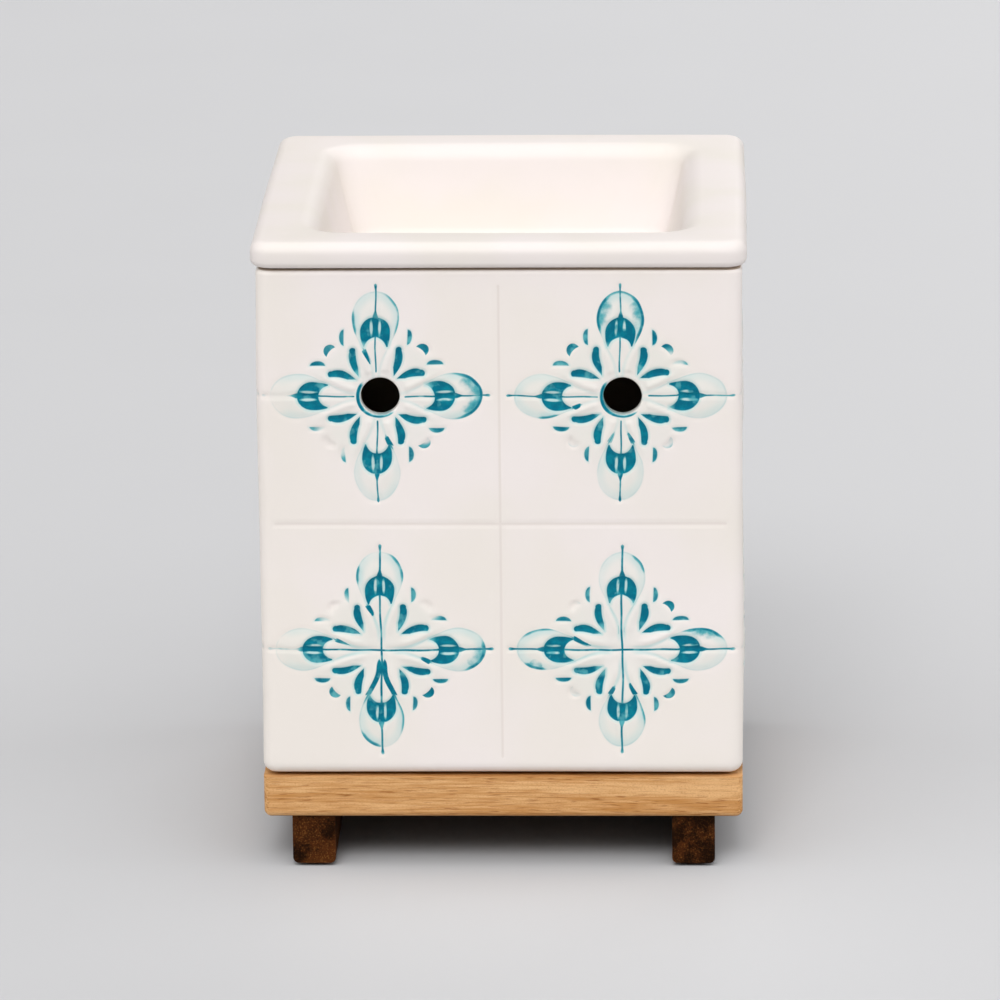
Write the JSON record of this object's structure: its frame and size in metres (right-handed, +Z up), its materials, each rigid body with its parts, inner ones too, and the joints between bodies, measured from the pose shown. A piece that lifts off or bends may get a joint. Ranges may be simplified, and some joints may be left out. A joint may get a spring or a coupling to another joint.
{
  "type": "wax melt warmer",
  "caption": "Square glazed ceramic wax melt warmer: lift-off dish over a lamp chamber with tiled, vented walls, on a wooden board with runners.",
  "frame": {"origin": "on the table surface, under the middle of the base", "axes": "+Z up, the side seen in the picture faces -Y, +X to its right"},
  "size_m": [0.116, 0.116, 0.1536],
  "materials": {
    "dish_glaze": "satin white glaze",
    "body_glaze": "satin white glaze with teal glaze in the tile relief",
    "board_wood": "light brown, oiled, fine pores along X",
    "runner_wood": "dark brown, oiled, grain along Y",
    "gasket_rubber": "thin soft sheet",
    "pad_rubber": "matt",
    "grommet_rubber": "matt black",
    "plated_steel": "zinc plated",
    "bracket_steel": "zinc plated sheet",
    "steatite": "unglazed, matt",
    "lamp_ceramic": "unglazed, matt",
    "contact_bronze": "spring bronze",
    "pin_nickel": "nickel plated",
    "reflector_mirror": "aluminised inside",
    "lamp_glass": "clear",
    "filament_tungsten": "dull grey wire",
    "lead_black": "silicone sleeve",
    "lead_white": "silicone sleeve",
    "splice_nylon": "translucent nylon"
  },
  "bodies": {
    "warmer": {"housing": "body_glaze", "base_gasket": "gasket_rubber", "base_board": "board_wood", "runner_left": "runner_wood", "runner_right": "runner_wood", "runner_screws": "plated_steel", "foot_pads": "pad_rubber", "base_bolts": "plated_steel", "base_washers": "plated_steel", "base_nuts": "plated_steel", "lamp_bracket": "bracket_steel", "lampholder_body": "steatite", "lampholder_cap": "steatite", "lampholder_contacts": "contact_bronze", "holder_screws": "plated_steel", "holder_nuts": "plated_steel", "lead_live": "lead_black", "lead_neutral": "lead_white", "lead_splices": "splice_nylon", "cord_grommet": "grommet_rubber"},
    "dish": {"wax_dish": "dish_glaze"},
    "lamp": {"lamp_reflector": "reflector_mirror", "lamp_lens": "lamp_glass", "lamp_base": "lamp_ceramic", "lamp_pins": "pin_nickel", "lamp_capsule": "lamp_glass", "lamp_filament": "filament_tungsten"}
  },
  "joints": [
    {"name": "dish_lift", "type": "slide", "parent": "warmer", "child": "dish", "axis": [0, 0, 1], "range_m": [0, 0.06]},
    {"name": "lamp_twist", "type": "hinge", "parent": "warmer", "child": "lamp", "pos_m": [0, 0, 0.0744], "axis": [0, 0, 1], "range_deg": [0, 35]}
  ]
}
